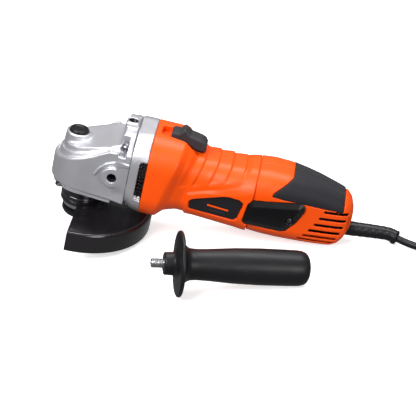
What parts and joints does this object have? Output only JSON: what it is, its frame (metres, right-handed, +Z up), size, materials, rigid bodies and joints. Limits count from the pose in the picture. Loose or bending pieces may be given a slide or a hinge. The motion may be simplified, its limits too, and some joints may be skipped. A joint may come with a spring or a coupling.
{
  "type": "angle grinder",
  "caption": "Small corded angle grinder with a cast gear head, half guard, slide switch and two-part tail, standing on its guard with its unscrewed side handle beside it.",
  "frame": {"origin": "on the ground under the middle of the bounding box of the tool and its side handle, without the cord", "axes": "+X from the gear head towards the tail, +Y towards the tool's right side, +Z up"},
  "size_m": [0.4101, 0.1833, 0.1048],
  "materials": {
    "aluminium": "cast, satin, bare",
    "steel": "ground steel",
    "zinc_screw": "zinc plated",
    "iron": "laminated iron",
    "copper": "enamelled copper wire and copper bars",
    "carbon": "pressed carbon, matte",
    "orange_plastic": "moulded, satin",
    "black_plastic": "moulded, satin",
    "soft_rubber": "soft overmould, matte",
    "guard_paint": "black enamel, glossy",
    "label_film": "plain film, satin",
    "cord_rubber": "matte sheath",
    "nylon_white": "natural nylon"
  },
  "bodies": {
    "tool": {"gear_housing": "aluminium", "bearing_cover": "aluminium", "flange_plate": "aluminium", "spindle_bearing": "steel", "spindle_bush": "steel", "pinion_bearing": "steel", "rear_bearing": "steel", "brush_spring_left": "steel", "brush_spring_right": "steel", "head_screw_1": "zinc_screw", "head_screw_2": "zinc_screw", "head_screw_3": "zinc_screw", "head_screw_4": "zinc_screw", "cover_screw_1": "zinc_screw", "cover_screw_2": "zinc_screw", "cover_screw_3": "zinc_screw", "cover_screw_4": "zinc_screw", "brush_cover_screw_left": "zinc_screw", "brush_cover_screw_right": "zinc_screw", "stator_core": "iron", "stator_coil_front": "copper", "stator_coil_rear": "copper", "carbon_brush_left": "carbon", "carbon_brush_right": "carbon", "motor_housing": "orange_plastic", "tail_cover_left": "orange_plastic", "tail_cover_right": "orange_plastic", "brush_cover_left": "black_plastic", "brush_cover_right": "black_plastic", "motor_bracket": "black_plastic", "power_switch": "black_plastic", "soft_grip_left": "soft_rubber", "soft_grip_right": "soft_rubber", "label_plate_left": "label_film", "label_plate_right": "label_film", "cord_boot": "cord_rubber", "power_cord": "cord_rubber", "cord_coil": "cord_rubber", "mains_plug": "cord_rubber"},
    "spindle": {"spindle": "steel", "bevel_gear": "steel", "inner_flange": "steel", "lock_nut": "steel"},
    "armature": {"armature_shaft": "steel", "armature_core": "iron", "winding_front": "copper", "winding_rear": "copper", "commutator": "copper", "fan": "black_plastic", "pinion": "steel"},
    "spindle_lock": {"lock_button": "black_plastic", "lock_pin": "steel", "lock_spring": "steel"},
    "slide_switch": {"switch_knob": "black_plastic", "switch_rod": "nylon_white"},
    "guard": {"guard": "guard_paint", "guard_clamp_band": "guard_paint", "guard_clamp_screw": "zinc_screw"},
    "side_handle": {"side_handle_grip": "black_plastic", "side_handle_stud": "steel"}
  },
  "joints": [
    {"name": "motor_spin", "type": "hinge", "parent": "tool", "child": "armature", "pos_m": [0.00303, 0.0292, 0.05239], "axis": [0.9783, 0, -0.2074], "continuous": true},
    {"name": "spindle_spin", "type": "hinge", "parent": "tool", "child": "spindle", "pos_m": [-0.0948, 0.0292, 0.07312], "axis": [0.2074, 0, 0.9783], "continuous": true},
    {"name": "spindle_lock_press", "type": "slide", "parent": "tool", "child": "spindle_lock", "axis": [-0.2074, 0, -0.9783], "range_m": [0, 0.0036], "stiffness_N_per_m": 600, "springref_m": -0.003},
    {"name": "switch_slide", "type": "slide", "parent": "tool", "child": "slide_switch", "axis": [-0.9783, 0, 0.2074], "range_m": [0, 0.0063]},
    {"name": "guard_turn", "type": "hinge", "parent": "tool", "child": "guard", "pos_m": [-0.10309, 0.0292, 0.03399], "axis": [0.2074, 0, 0.9783], "range_deg": [-90, 90]},
    {"name": "side_handle_lift", "type": "slide", "parent": "tool", "child": "side_handle", "axis": [0, 0, 1], "range_m": [0, 0.15]}
  ],
  "couplings": [
    {"joint": "spindle_spin", "follows": "motor_spin", "ratio": 0.3}
  ]
}
